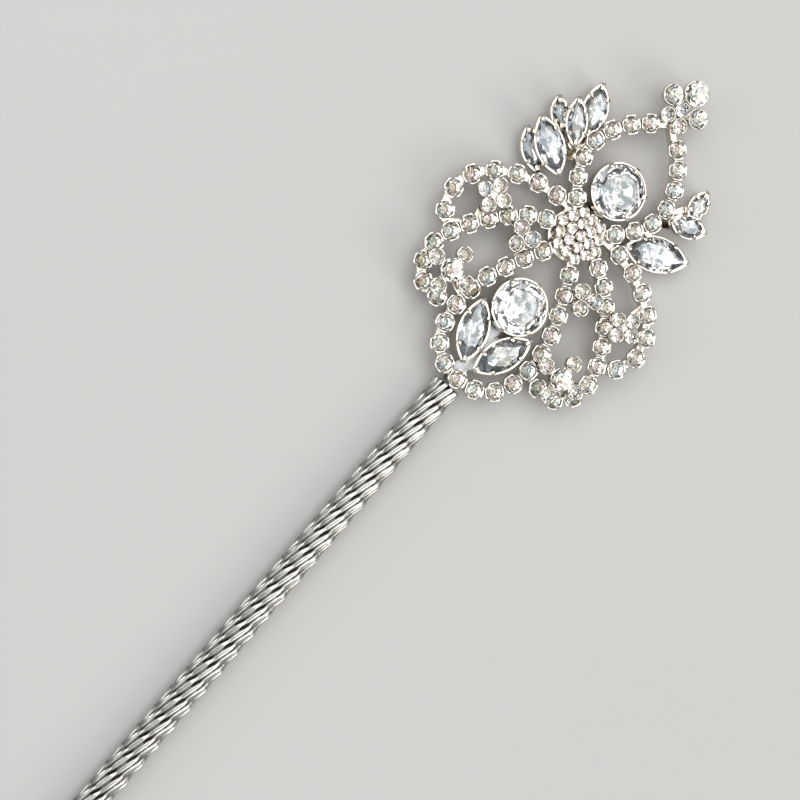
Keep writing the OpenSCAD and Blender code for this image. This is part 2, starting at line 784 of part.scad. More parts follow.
module belly_stones() {
    color(CRYSTAL) in_head() for (side = [left, right])
        translate([side * belly_at.x, belly_at.y, back_level + solder_gap + belly_height])
            rotate(90 - side * belly_lean) navette(belly_stone_l, belly_stone_w, belly_height);
}

// ---------------------------------------------------------------- leaves beside the teardrop

spray_root = point_at(teardrop_half, 0.34);
spray_t = 0.8;
spray_w = 1.3;
post_d = 1;
leaf_height = 1.3;
claw_rise = 0.7;
front_step = leaf_height + 0.1 + claw_rise + solder_gap;

// Each leaf: centre from the spray's root, stone length and width as shares of the longest stone's length,
// then the lean from the X axis in degrees, and 1 for the front row or 0 for the back row.
leaves_left = [
    [[0.305, 0.695], 0.75, 0.375, 65, 0],
    [[0.7, 0.28], 0.42, 0.25, 43, 0],
    [[0.45, 0.31], 0.66, 0.3, 53, 1],
    [[0.53, -0.24], 0.86, 0.42, 30, 1],
    [[0.66, -0.43], 0.62, 0.3, 35, 0]
];
leaves_right = [
    [[0.45, 0.76], 0.42, 0.28, 100, 0],
    [[0.48, 0.355], 0.5, 0.32, 24, 1],
    [[0.43, -0.27], 1, 0.52, 27, 0]
];

function leaf_floor(front) = back_level + (front == 1 ? front_step : 0);
function leaf_centre(leaf) = leaf_stone_l * leaf[0];
function leaf_l(leaf) = leaf_stone_l * leaf[1];
function leaf_w(leaf) = leaf_stone_l * leaf[2];

module leaf_spray(side, leaves) {
    color(SILVER) in_head() for (leaf = leaves) {
        end = spray_root + leaf_centre(leaf);
        layer(back_level - spray_t, back_level - solder_gap)
            polygon(strip(mirrored(side, [spray_root - rail_t / 2 * unit(leaf_centre(leaf)), end]), spray_w));
        layer(back_level - spray_t, back_level - solder_gap)
            translate(side_of(side, end)) circle(d = spray_w, $fn = small_fn);
        if (leaf[4] == 1) translate(concat(side_of(side, end), back_level - spray_t))
            cylinder(h = spray_t + front_step - solder_gap, d = post_d, $fn = small_fn);
    }
}

module on_leaf(side, leaf) {
    p = side_of(side, spray_root + leaf_centre(leaf));
    translate([p.x, p.y, leaf_floor(leaf[4])]) rotate(side > 0 ? leaf[3] : 180 - leaf[3]) children();
}

module leaf_settings(side, leaves) {
    color(SILVER) in_head() for (leaf = leaves) on_leaf(side, leaf)
        navette_setting(leaf_l(leaf), leaf_w(leaf), leaf_height);
}

module leaf_stones(side, leaves) {
    color(CRYSTAL) in_head() for (leaf = leaves) on_leaf(side, leaf)
        translate([0, 0, leaf_height]) navette(leaf_l(leaf), leaf_w(leaf), leaf_height);
}

// ---------------------------------------------------------------- flowers

// The flowers stand on a stem, above the prongs of the chain.
flower_rise = 1.9;
flower_plate_t = 0.4;
flower_bar_t = 0.8;
flower_stem_r = 0.9;
bar_w = 1.4;

// Radius of the ring on which count cups of stone diameter d just clear each other.
function ring_r(count, d) = (cup_r_of(d) + solder_gap / 2) / sin(180 / count);
function ring_places(count, r, turn) = [
    for (k = [0:count - 1]) r * [cos(turn + k * 360 / count), sin(turn + k * 360 / count)]
];

// A flower's middle on the line between its two feet; it sits a little lower on the right, as on the real pin.
function flower_at(side, feet, share) = let (p = feet[0] + share * (feet[1] - feet[0])) p - [0, side * 0.04 * p.x];

// Upper flower: four stones between the upper petal and the lower petal.
upper_flower_feet = [point_at(upper_petal_line, 0.45), point_at(lower_petal_line, 0.44)];
upper_flower_ring = [for (p = ring_places(4, ring_r(4, upper_flower_d), 80)) [p, upper_flower_d]];

// Small flower of three stones between the lower petal and the inverted drop.
mid_flower_feet = [point_at(lower_petal_line, 0.245), point_at(oval_half, 0.26)];
mid_flower_ring = [for (p = ring_places(3, ring_r(3, mid_flower_d), 35)) [p, mid_flower_d]];

// Lower flower: a larger stone with four round it, between the lower petal and the inverted drop.
lower_flower_feet = [point_at(lower_petal_line, 0.68), point_at(oval_half, 0.56)];
lower_flower_run = cup_r_of(lower_flower_d) + cup_r_of(lower_petal_d) + solder_gap;
lower_flower_ring = concat(
    [[[0, 0], lower_flower_d]],
    [for (p = ring_places(4, lower_flower_run, 0)) [p, lower_petal_d]]
);

// Cups on a scalloped plate, on a stem whose bar is soldered between the wires at the feet.
module flower_cups(side, feet, share, ring) {
    centre = flower_at(side, feet, share);
    places = [for (p = ring) [centre + p[0], p[1]]];
    plate_high = rail_top + flower_rise;
    plate_low = plate_high - flower_plate_t;
    bar_low = rail_top - flower_bar_t;
    color(SILVER) in_head() {
        for (p = places) translate([side * p[0].x, p[0].y, plate_high]) cup(p[1]);
        layer(plate_low, plate_high) for (p = places) {
            translate(side_of(side, p[0])) circle(r = cup_r_of(p[1]), $fn = small_fn);
            if (p[0] != centre) polygon(strip(mirrored(side, [centre, p[0]]), bar_w));
        }
        translate(concat(side_of(side, centre), bar_low))
            cylinder(h = plate_high - bar_low, r = flower_stem_r, $fn = small_fn);
        layer(bar_low, rail_top - solder_gap) difference() {
            polygon(strip(mirrored(side, [feet[0], centre, feet[1]]), bar_w));
            polygon(strip(mirrored(side, oval_half), rail_t + 2 * solder_gap));
            polygon(strip(mirrored(side, lower_petal_line), rail_t + 2 * solder_gap));
            polygon(strip(mirrored(side, upper_petal_line), rail_t + 2 * solder_gap));
        }
    }
}

module flower_stones(side, feet, share, ring) {
    color(CREAM) in_head() for (p = ring) let (q = flower_at(side, feet, share) + p[0])
        translate([side * q.x, q.y, rail_top + flower_rise + girdle_of()]) chaton(p[1]);
}

module upper_flower_cups(side) {
    flower_cups(side, upper_flower_feet, 0.52, upper_flower_ring);
}

module upper_flower_stones(side) {
    flower_stones(side, upper_flower_feet, 0.52, upper_flower_ring);
}

module mid_flower_cups(side) {
    flower_cups(side, mid_flower_feet, 0.5, mid_flower_ring);
}

module mid_flower_stones(side) {
    flower_stones(side, mid_flower_feet, 0.5, mid_flower_ring);
}

module lower_flower_cups(side) {
    flower_cups(side, lower_flower_feet, 0.5, lower_flower_ring);
}

module lower_flower_stones(side) {
    flower_stones(side, lower_flower_feet, 0.5, lower_flower_ring);
}

// ---------------------------------------------------------------- parts

core_rod();
shank_sleeve();
shank_point();
teardrop_rail();
teardrop_cups();
teardrop_stones();
oval_rail();
oval_cups();
oval_stones();
upper_petal_rail(left);  // upper_petal_rail_left
upper_petal_cups(left);  // upper_petal_cups_left
upper_petal_stones(left);  // upper_petal_stones_left
upper_petal_rail(right);  // upper_petal_rail_right
upper_petal_cups(right);  // upper_petal_cups_right
upper_petal_stones(right);  // upper_petal_stones_right
lower_petal_rail(left);  // lower_petal_rail_left
lower_petal_cups(left);  // lower_petal_cups_left
lower_petal_stones(left);  // lower_petal_stones_left
lower_petal_rail(right);  // lower_petal_rail_right
lower_petal_cups(right);  // lower_petal_cups_right
lower_petal_stones(right);  // lower_petal_stones_right
hub_plate();
hub_cups();
hub_stones();
tip_plate();
tip_cups();
tip_stones();
upper_round_setting();
upper_round_stone();
lower_round_setting();
lower_round_stone();
belly_settings();
belly_stones();
leaf_spray(left, leaves_left);  // leaf_spray_left
leaf_settings(left, leaves_left);  // leaf_settings_left
leaf_stones(left, leaves_left);  // leaf_stones_left
leaf_spray(right, leaves_right);  // leaf_spray_right
leaf_settings(right, leaves_right);  // leaf_settings_right
leaf_stones(right, leaves_right);  // leaf_stones_right
upper_flower_cups(left);  // upper_flower_cups_left
upper_flower_stones(left);  // upper_flower_stones_left
upper_flower_cups(right);  // upper_flower_cups_right
upper_flower_stones(right);  // upper_flower_stones_right
mid_flower_cups(left);  // mid_flower_cups_left
mid_flower_stones(left);  // mid_flower_stones_left
mid_flower_cups(right);  // mid_flower_cups_right
mid_flower_stones(right);  // mid_flower_stones_right
lower_flower_cups(left);  // lower_flower_cups_left
lower_flower_stones(left);  // lower_flower_stones_left
lower_flower_cups(right);  // lower_flower_cups_right
lower_flower_stones(right);  // lower_flower_stones_right
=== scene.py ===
"""Rhinestone hair pin on a pale studio floor. All lengths are in metres, in the frame of the CAD model."""

import math
import random

import bmesh
import bpy
from mathutils import Matrix, Vector


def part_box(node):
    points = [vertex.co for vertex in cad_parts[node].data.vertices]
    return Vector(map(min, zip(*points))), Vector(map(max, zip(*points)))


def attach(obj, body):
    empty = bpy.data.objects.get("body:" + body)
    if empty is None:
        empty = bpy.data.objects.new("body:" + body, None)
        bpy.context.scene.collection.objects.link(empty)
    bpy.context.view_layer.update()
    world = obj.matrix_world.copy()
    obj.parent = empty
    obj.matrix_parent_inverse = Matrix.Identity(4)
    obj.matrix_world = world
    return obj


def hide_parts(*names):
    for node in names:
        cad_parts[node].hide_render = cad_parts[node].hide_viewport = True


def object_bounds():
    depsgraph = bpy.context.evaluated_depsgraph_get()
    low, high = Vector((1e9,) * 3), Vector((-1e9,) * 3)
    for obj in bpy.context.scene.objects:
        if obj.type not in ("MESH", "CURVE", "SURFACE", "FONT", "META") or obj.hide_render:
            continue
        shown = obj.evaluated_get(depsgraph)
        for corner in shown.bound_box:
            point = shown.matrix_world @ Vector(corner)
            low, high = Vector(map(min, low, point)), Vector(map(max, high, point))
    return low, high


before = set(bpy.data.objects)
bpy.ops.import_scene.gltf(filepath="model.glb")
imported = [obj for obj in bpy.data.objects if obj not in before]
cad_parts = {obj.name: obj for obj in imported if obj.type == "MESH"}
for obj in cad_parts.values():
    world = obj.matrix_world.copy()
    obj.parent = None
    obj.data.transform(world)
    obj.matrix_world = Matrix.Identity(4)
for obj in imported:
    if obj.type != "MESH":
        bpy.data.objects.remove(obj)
CAD_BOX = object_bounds()
MM = 0.001
random.seed(7)


# ---------------------------------------------------------------- colour and node helpers


def colour(code):
    """An sRGB hex colour as the linear RGBA that Blender's sockets take."""
    channels = [int(code[i:i + 2], 16) / 255 for i in (1, 3, 5)]
    linear = [c / 12.92 if c <= 0.04045 else ((c + 0.055) / 1.055) ** 2.4 for c in channels]
    return (*linear, 1.0)


def node(tree, kind, settings=None, **sockets):
    """Adds a node with its settings, its sockets given by name (Base_Color=) or by number (_0=, _1=).

    An output given to a socket is linked to it, and any other value is set on it.
    """
    made = tree.nodes.new(kind)
    for key, value in (settings or {}).items():
        setattr(made, key, value)
    for key, value in sockets.items():
        socket = made.inputs[int(key[1:])] if key[0] == "_" else made.inputs[key.replace("_", " ")]
        if isinstance(value, bpy.types.NodeSocket):
            tree.links.new(value, socket)
        else:
            socket.default_value = value
    return made


def material(name):
    """A new material with an empty node tree."""
    made = bpy.data.materials.new(name)
    made.use_nodes = True
    made.node_tree.nodes.clear()
    return made, made.node_tree


def surface(tree, shader):
    """Puts a shader on the material's output."""
    node(tree, "ShaderNodeOutputMaterial", Surface=shader.outputs[0])


def ramp(tree, value, *stops):
    """A colour ramp through stops of (position, hex colour)."""
    made = node(tree, "ShaderNodeValToRGB", _0=value)
    elements = made.color_ramp.elements
    while len(elements) < len(stops):
        elements.new(0.5)
    for element, (position, code) in zip(elements, stops):
        element.position = position
        element.color = colour(code)
    return made.outputs["Color"]


def spread(tree, value, low, high, start=0.0, end=1.0):
    """Maps a value from start..end to low..high."""
    made = node(
        tree, "ShaderNodeMapRange", Value=value, From_Min=start, From_Max=end, To_Min=low, To_Max=high,
    )
    return made.outputs["Result"]


def noise(tree, place, size, detail=3.0, rough=0.55):
    """Noise whose blotches are about the given size across, in metres."""
    made = node(tree, "ShaderNodeTexNoise", Vector=place, Scale=1 / size, Detail=detail, Roughness=rough)
    return made.outputs["Fac"]


def in_object(tree):
    """Object coordinates, which for every piece of the pin are metres in the CAD model's frame."""
    return node(tree, "ShaderNodeTexCoord").outputs["Object"]


# ---------------------------------------------------------------- materials


def plated_metal(name, bright, dull, gloss, crevice, scratch):
    """Plated jewellery metal: handling marks in its gloss; in crevices, tarnish where a cloth doesn't reach,
    and painted shade.
    """
    mat, tree = material(name)
    place = in_object(tree)
    # Ambient occlusion turns the tone towards dull in the crevices: painted shade, together with tarnish.
    hollow = node(tree, "ShaderNodeAmbientOcclusion", {"samples": 4}, Distance=crevice).outputs["AO"]
    patches = noise(tree, place, size=1.6 * MM)
    uneven = node(tree, "ShaderNodeMath", {"operation": "MULTIPLY_ADD"}, _0=patches, _1=0.35, _2=-0.17)
    open_share = node(tree, "ShaderNodeMath", {"operation": "ADD"}, _0=hollow, _1=uneven.outputs[0])
    tone = ramp(tree, open_share.outputs[0], (0.08, dull), (0.62, bright))
    smear = noise(tree, place, size=0.5 * MM, detail=5.0, rough=0.65)
    polish = spread(tree, smear, gloss[0], gloss[1], start=0.3, end=0.75)
    grain = noise(tree, place, size=scratch, detail=2.0)
    marks = node(tree, "ShaderNodeBump", Height=grain, Strength=0.25, Distance=0.004 * MM)
    shader = node(
        tree, "ShaderNodeBsdfPrincipled",
        Base_Color=tone, Metallic=1.0, Roughness=polish, Normal=marks.outputs[0],
    )
    surface(tree, shader)
    return mat


def sleeve_metal():
    """Textured shank: bright where the leaf ridges are rubbed, with dark patina and painted shade in the
    grooves between them.
    """
    mat, tree = material("shank_silver_patina_and_painted_shade")
    place = in_object(tree)
    axes = node(tree, "ShaderNodeSeparateXYZ", _0=place)
    across = node(tree, "ShaderNodeCombineXYZ", X=axes.outputs["X"], Z=axes.outputs["Z"])
    radius = node(tree, "ShaderNodeVectorMath", {"operation": "LENGTH"}, _0=across.outputs[0])
    wear = noise(tree, place, size=1.2 * MM, detail=4.0)
    height = node(
        tree, "ShaderNodeMath", {"operation": "MULTIPLY_ADD"}, _0=wear, _1=0.25 * MM,
        _2=radius.outputs["Value"],
    )
    groove, crest = 2.25 * MM, 2.8 * MM
    depth = spread(tree, height.outputs[0], 0.0, 1.0, start=groove, end=crest)
    # Dark towards the groove floor, where patina is deepened into painted shade; light at the rubbed ridge
    # tops.
    tone = ramp(tree, depth, (0.0, "#1D1B19"), (0.42, "#726F6C"), (0.82, "#CCCAC5"))
    rub = spread(tree, depth, low=0.34, high=0.13)
    grain = noise(tree, place, size=0.12 * MM)
    marks = node(tree, "ShaderNodeBump", Height=grain, Strength=0.35, Distance=0.008 * MM)
    shader = node(
        tree, "ShaderNodeBsdfPrincipled",
        Base_Color=tone, Metallic=1.0, Roughness=rub, Normal=marks.outputs[0],
    )
    surface(tree, shader)
    return mat


def drawn_steel():
    """Drawn wire: fine lines along the rod from the drawing die."""
    mat, tree = material("rod_drawn_steel")
    place = in_object(tree)
    along = node(tree, "ShaderNodeVectorMath", {"operation": "MULTIPLY"}, _0=place, _1=(1.0, 0.02, 1.0))
    lines = noise(tree, along.outputs[0], size=0.08 * MM, detail=2.0)
    tone = ramp(tree, lines, (0.3, "#8D8E90"), (0.7, "#C6C8CC"))
    marks = node(tree, "ShaderNodeBump", Height=lines, Strength=0.4, Distance=0.01 * MM)
    dull = spread(tree, lines, low=0.25, high=0.42)
    shader = node(
        tree, "ShaderNodeBsdfPrincipled",
        Base_Color=tone, Metallic=1.0, Roughness=dull, Normal=marks.outputs[0],
    )
    surface(tree, shader)
    return mat


def cut_glass(name, tint_a, tint_b, patch, film, film_index):
    """Machine-cut crystal: clear, under a thin oxide film that throws pink, lilac and straw glints."""
    mat, tree = material(name)
    place = in_object(tree)
    tint = ramp(tree, noise(tree, place, size=patch, detail=1.0), (0.4, tint_a), (0.6, tint_b))
    smudge = noise(tree, place, size=0.4 * MM)
    batch = noise(tree, place, size=1.3 * patch, detail=1.0)
    depth = spread(tree, batch, film[0], film[1], start=0.38, end=0.62)
    haze = spread(tree, smudge, low=0.0, high=0.02, start=0.45, end=0.8)
    shader = node(
        tree, "ShaderNodeBsdfPrincipled",
        Base_Color=tint, Roughness=haze, IOR=1.56, Transmission_Weight=1.0,
        Thin_Film_Thickness=depth, Thin_Film_IOR=film_index,
    )
    surface(tree, shader)
    return mat


def stone_foil(name, stops, patch, milk):
    """Silver foil on a stone's back that mirrors each facet; milk is the share that its lacquer spreads."""
    mat, tree = material(name)
    place = in_object(tree)
    tone = ramp(tree, noise(tree, place, size=patch, detail=1.5), *stops)
    ripple = noise(tree, place, size=1.5 * MM, detail=1.0)
    blur = spread(tree, ripple, low=0.02, high=0.06, start=0.35, end=0.75)
    shader = node(
        tree, "ShaderNodeBsdfPrincipled", Base_Color=tone, Metallic=1 - milk, Roughness=blur,
    )
    surface(tree, shader)
    return mat


PAPER_ENDS, WALL_STARTS = 0.22, 0.5  # distances from the pin's middle, over which paper gives way to wall


def floor_paper():
    """Matt backdrop paper: a fine tooth, a slow change of tone, and far off the tone of a lit wall."""
    mat, tree = material("floor_paper")
    place = in_object(tree)
    fade = noise(tree, place, size=300 * MM, detail=2.0)
    tone = ramp(tree, fade, (0.3, "#D0CECB"), (0.7, "#D4D2CF"))
    tooth = noise(tree, place, size=0.5 * MM, detail=4.0)
    marks = node(tree, "ShaderNodeBump", Height=tooth, Strength=0.15, Distance=0.02 * MM)
    paper = node(
        tree, "ShaderNodeBsdfPrincipled", Base_Color=tone, Roughness=0.9, IOR=1.4, Normal=marks.outputs[0],
    )
    wall = node(tree, "ShaderNodeEmission", Color=colour("#D6D4D0"), Strength=1.0)
    away = node(tree, "ShaderNodeVectorMath", {"operation": "LENGTH"}, _0=place).outputs["Value"]
    ray = node(tree, "ShaderNodeLightPath")
    far = node(
        tree, "ShaderNodeMath", {"operation": "MULTIPLY"}, _0=ray.outputs["Is Camera Ray"],
        _1=spread(tree, away, 0.0, 1.0, start=PAPER_ENDS, end=WALL_STARTS),
    )
    shader = node(
        tree, "ShaderNodeMixShader", _0=far.outputs[0], _1=paper.outputs[0], _2=wall.outputs[0],
    )
    surface(tree, shader)
    return mat


# A warm, cream-toned silver plating covers every wire, cup and setting; its dull tone is tarnish and painted
# shade in the crevices.
PLATE = plated_metal(
    "nickel_silver_plate", bright="#D6D0C5", dull="#6E6A63", gloss=(0.06, 0.2),
    crevice=0.7 * MM, scratch=0.15 * MM,
)
SLEEVE = sleeve_metal()
STEEL = drawn_steel()
# Films are in nanometres: a thin one for clear stones, a thicker one where pink and straw glints show.
CLEAR_GLASS = cut_glass(
    "crystal_clear_cut", tint_a="#FFFFFF", tint_b="#FAFBFF", patch=4 * MM, film=(58, 74), film_index=1.95,
)
TINTED_GLASS = cut_glass(
    "crystal_tinted_cut", tint_a="#FFFFFF", tint_b="#FFFBFC", patch=2.4 * MM, film=(222, 288), film_index=1.7,
)
# Grey patches in the foil are painted dark reflections, read as the dark facets of clear stones; the pale
# tints are the small stones' own.
CLEAR_FOIL = stone_foil(
    "foil_silver", ((0.4, "#404144"), (0.45, "#E9E9EA"), (0.6, "#FFFFFF")), patch=1.5 * MM, milk=0.08,
)
TINTED_FOIL = stone_foil(
    "foil_pale_tints", ((0.3, "#F6F0FF"), (0.42, "#FFFEFA"), (0.56, "#FFFDF5"), (0.7, "#FFF2F1")),
    patch=1.8 * MM, milk=0.08,
)
BLUSH_FOIL = stone_foil(
    "foil_blush", ((0.36, "#FFEDF0"), (0.5, "#FFFDF9"), (0.64, "#FFF6EA")), patch=1.6 * MM, milk=0.08,
)


# ---------------------------------------------------------------- CAD nodes that stay


WELD = 0.002 * MM
SHALLOW = math.radians(32)  # edges flatter than this are curved surfaces cut into facets
SHARP = math.radians(40)  # edges steeper than this get a small radius
# The radii that tumbling and plating leave on each kind of piece.
WIRE_EDGE, ROD_EDGE, SETTING_EDGE, CUP_EDGE = 0.12 * MM, 0.08 * MM, 0.07 * MM, 0.035 * MM


def edge_softening():
    """Geometry nodes that weld the CAD mesh's seams and shade it smooth across shallow edges."""
    tree = bpy.data.node_groups.new("soft_metal_edges", "GeometryNodeTree")
    tree.interface.new_socket("Geometry", in_out="INPUT", socket_type="NodeSocketGeometry")
    tree.interface.new_socket("Geometry", in_out="OUTPUT", socket_type="NodeSocketGeometry")
    start = node(tree, "NodeGroupInput")
    welded = node(tree, "GeometryNodeMergeByDistance", Geometry=start.outputs[0], Distance=WELD)
    bare = node(tree, "GeometryNodeRemoveAttribute", Geometry=welded.outputs[0], Name="custom_normal")
    angle = node(tree, "GeometryNodeInputMeshEdgeAngle")
    shallow = node(tree, "FunctionNodeCompare", {"operation": "LESS_THAN"}, _0=angle.outputs[0], _1=SHALLOW)
    faces = node(
        tree, "GeometryNodeSetShadeSmooth", {"domain": "FACE"}, Geometry=bare.outputs[0], Shade_Smooth=True,
    )
    edges = node(
        tree, "GeometryNodeSetShadeSmooth", {"domain": "EDGE"}, Geometry=faces.outputs[0],
        Shade_Smooth=shallow.outputs[0],
    )
    node(tree, "NodeGroupOutput", Geometry=edges.outputs[0])
    return tree


SOFTEN = edge_softening()


def finish_node(name, mat, edge):
    """Gives a CAD node its material, smooth curves and softened edges; its own mesh is left as it is."""
    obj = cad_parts[name]
    for slot in obj.material_slots:
        slot.material = mat
    soften = obj.modifiers.new("weld", "NODES")
    soften.node_group = SOFTEN
    bevel = obj.modifiers.new("edge", "BEVEL")
    bevel.width = edge
    bevel.segments = 2
    bevel.limit_method = "ANGLE"
    bevel.angle_limit = SHARP
    bevel.miter_outer = "MITER_ARC"
    obj.modifiers.new("flats", "WEIGHTED_NORMAL")


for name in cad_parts:
    if name == "core_rod":
        finish_node(name, STEEL, ROD_EDGE)
    elif "_cups" in name:
        finish_node(name, PLATE, CUP_EDGE)
    elif "_setting" in name:
        finish_node(name, PLATE, SETTING_EDGE)
    elif name == "shank_point" or "_rail" in name or "_plate" in name or "_spray" in name:
        finish_node(name, PLATE, WIRE_EDGE)


# ---------------------------------------------------------------- pieces made here


def piece(name, bm, mats, slot_name, *nodes):
    """Makes a mesh piece of the pin that takes the place of the given CAD nodes."""
    mesh = bpy.data.meshes.new(name)
    bm.to_mesh(mesh)
    bm.free()
    for mat in mats:
        mesh.materials.append(mat)
    obj = bpy.data.objects.new(name, mesh)
    bpy.context.collection.objects.link(obj)
    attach(obj, "root")
    if nodes:
        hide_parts(*nodes)
    return obj


# ---------------------------------------------------------------- cut stones


def outline_point(turn, length, width):
    """A point of a lens-shaped outline and its outward normal; a circle when length and width are equal."""
    radius = (length * length + width * width) / (4 * width)
    x = math.cos(turn) * length / 2
    side = -1 if math.sin(turn) < 0 else 1
    point = Vector((x, side * (math.sqrt(radius * radius - x * x) - radius + width / 2), 0))
    centre = Vector((0, -side * (radius - width / 2), 0))
    return point, (point - centre).normalized()


SAME_PLACE = 1e-6  # corners this close to a plane, in stone widths, lie on it


def grind(bm, point, normal):
    """Cuts away what lies outside a plane and closes the cut with one flat facet."""
    cut = bmesh.ops.bisect_plane(
        bm, geom=bm.verts[:] + bm.edges[:] + bm.faces[:], dist=SAME_PLACE,
        plane_co=point, plane_no=normal, clear_outer=True,
    )
    rim = [item for item in cut["geom_cut"] if isinstance(item, bmesh.types.BMEdge)]
    if len(rim) > 2:
        bmesh.ops.edgeloop_fill(bm, edges=rim)


def slanted(bm, turn, length, width, level, share, height):
    """Grinds a facet that meets the outline at level, and the outline shrunk to share at height."""
    point, normal = outline_point(turn, length, width)
    depth = point.dot(normal)
    plane = Vector((normal.x, normal.y, depth * (1 - share) / (height - level)))
    if height < level:
        plane.z = -abs(plane.z)
    grind(bm, point + Vector((0, 0, level)), plane.normalized())


# Proportions of a cut stone of width 1 with its girdle at z = 0.
CROWN, PAVILION = 0.16, 0.4
KITE_LEVEL = 0.004
# These facets leave the girdle at a level, and reach a share of the outline at a height.
UPPER_HALVES = (0.0, 0.74, 0.72 * CROWN)
MAINS = (-0.012, 0.0, -PAVILION)
LOWER_HALVES = (-0.01, 0.3, -0.8 * PAVILION)
STAR_RISE, STAR_REACH = 3.1, 0.93
TINY_TURN = 1e-3  # steps past the pointed ends of a lens, where the outline's normal jumps
BLANK_SIDES = 48
FACETS_AROUND = 8


def stone_pattern(length, table):
    """One cut stone of width 1 with its girdle at z = 0, ground facet by facet as a cutter does."""
    bm = bmesh.new()
    width, sides = 1.0, BLANK_SIDES
    ring = [outline_point(math.tau * k / sides, length, width)[0] for k in range(sides)]
    low = [bm.verts.new(p - Vector((0, 0, PAVILION))) for p in ring]
    high = [bm.verts.new(p + Vector((0, 0, CROWN))) for p in ring]
    bm.faces.new(high)
    bm.faces.new(low[::-1])
    for k in range(sides):
        after = (k + 1) % sides
        bm.faces.new((low[k], low[after], high[after], high[k]))
    step = math.tau / FACETS_AROUND
    for k in range(FACETS_AROUND):
        main = (k + 0.5) * step
        slanted(bm, main, length, width, KITE_LEVEL, table, CROWN)
        slanted(bm, main, length, width, *MAINS)
    for k in range(2 * FACETS_AROUND):
        half = (k + 0.5) * step / 2
        slanted(bm, half, length, width, *UPPER_HALVES)
        slanted(bm, half, length, width, *LOWER_HALVES)
    for k in range(FACETS_AROUND):
        point, normal = outline_point(k * step + TINY_TURN, length, width)
        star = Vector((normal.x, normal.y, STAR_RISE))
        grind(bm, point * table * STAR_REACH + Vector((0, 0, CROWN)), star.normalized())
    for face in bm.faces:
        face.smooth = False
        face.material_index = 0 if face.calc_center_median().z > 0 else 1
    mesh = bpy.data.meshes.new("stone_pattern")
    bm.to_mesh(mesh)
    bm.free()
    return mesh


NAVETTE_LENGTH = 2.2
ROUND_PATTERN = stone_pattern(1.0, table=0.62)
NAVETTE_PATTERN = stone_pattern(NAVETTE_LENGTH, table=0.6)
ROUND_LIMIT = 1.15  # stones up to this much longer than wide are round
GRID = 1e6  # steps per metre to which points are rounded, so that a solid's corners meet


def loose_parts(name):
    """The points of each separate solid in a CAD node's mesh, which is only read."""
    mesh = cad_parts[name].data
    known = {}
    spot = [known.setdefault(tuple(round(c * GRID) for c in v.co), len(known)) for v in mesh.vertices]
    boss = list(range(len(known)))

    def head(i):
        while boss[i] != i:
            i = boss[i]
        return i

    for face in mesh.polygons:
        first = head(spot[face.vertices[0]])
        for v in face.vertices:
            boss[head(spot[v])] = first
    parts = {}
    for at, i in known.items():
        parts.setdefault(head(i), []).append(Vector(at) * (1 / GRID))
    return list(parts.values())


def stone_place(points):
    """A CAD stone's centre, turn, length, width, and how far its crown and pavilion stretch the pattern's."""
    culet = min(points, key=lambda p: p.z)
    far = max(points, key=lambda p: (p - culet).xy.length)
    along = (far - culet).xy.normalized()
    length = 2 * (far - culet).xy.length
    width = 2 * max(abs((p - culet).xy.cross(along)) for p in points)
    top = max(p.z for p in points)
    centre = Vector((culet.x, culet.y, far.z))
    heights = (top - far.z) / CROWN, (far.z - culet.z) / PAVILION
    return centre, math.atan2(along.y, along.x), length, width, heights


def set_stones(name, mats, slot_name, lean, *nodes):
    """Sets a cut stone in the place of each CAD stone, tipped by up to lean degrees as hand-set ones are."""
    bm = bmesh.new()
    for cad in nodes:
        for points in loose_parts(cad):
            centre, turn, length, width, (rise, sink) = stone_place(points)
            is_round = length < ROUND_LIMIT * width
            pattern = ROUND_PATTERN if is_round else NAVETTE_PATTERN
            if is_round:
                turn = random.uniform(0, math.tau)
                width = length
            stretch_x = length if is_round else length / NAVETTE_LENGTH
            tip = Matrix.Rotation(math.radians(random.uniform(-lean, lean)), 4, "X")
            tip = tip @ Matrix.Rotation(math.radians(random.uniform(-lean, lean)), 4, "Y")
            place = Matrix.Translation(centre) @ tip @ Matrix.Rotation(turn, 4, "Z")
            made = {}
            for v in pattern.vertices:
                stretch_z = rise if v.co.z > 0 else sink
                spot = Vector((v.co.x * stretch_x, v.co.y * width, v.co.z * stretch_z))
                made[v.index] = bm.verts.new(place @ spot)
            for face in pattern.polygons:
                new = bm.faces.new([made[i] for i in face.vertices])
                new.material_index = face.material_index
    return piece(name, bm, mats, slot_name, *nodes)


TINTED = [TINTED_GLASS, TINTED_FOIL]
BLUSH = [TINTED_GLASS, BLUSH_FOIL]
CLEAR = [CLEAR_GLASS, CLEAR_FOIL]
CUP_LEAN, CLAW_LEAN = 2.5, 0.8  # degrees that stones may lean in their cups and in their claw settings

for group, mats in (("teardrop", TINTED), ("oval", TINTED), ("hub", BLUSH), ("tip", TINTED)):
    set_stones(f"{group}_cut_stones", mats, "tinted_crystal", CUP_LEAN, f"{group}_stones")
for group in ("upper_petal", "lower_petal", "upper_flower", "mid_flower", "lower_flower"):
    for side in ("left", "right"):
        made_name, cad_name = f"{group}_cut_stones_{side}", f"{group}_stones_{side}"
        set_stones(made_name, TINTED, "tinted_crystal", CUP_LEAN, cad_name)
for side in ("left", "right"):
    set_stones(f"leaf_cut_stones_{side}", CLEAR, "clear_crystal", CLAW_LEAN, f"leaf_stones_{side}")
set_stones("belly_cut_stones", CLEAR, "clear_crystal", CLAW_LEAN, "belly_stones")
for level in ("upper", "lower"):
    set_stones(f"{level}_round_cut_stone", CLEAR, "clear_crystal", CLAW_LEAN, f"{level}_round_stone")


# ---------------------------------------------------------------- textured shank

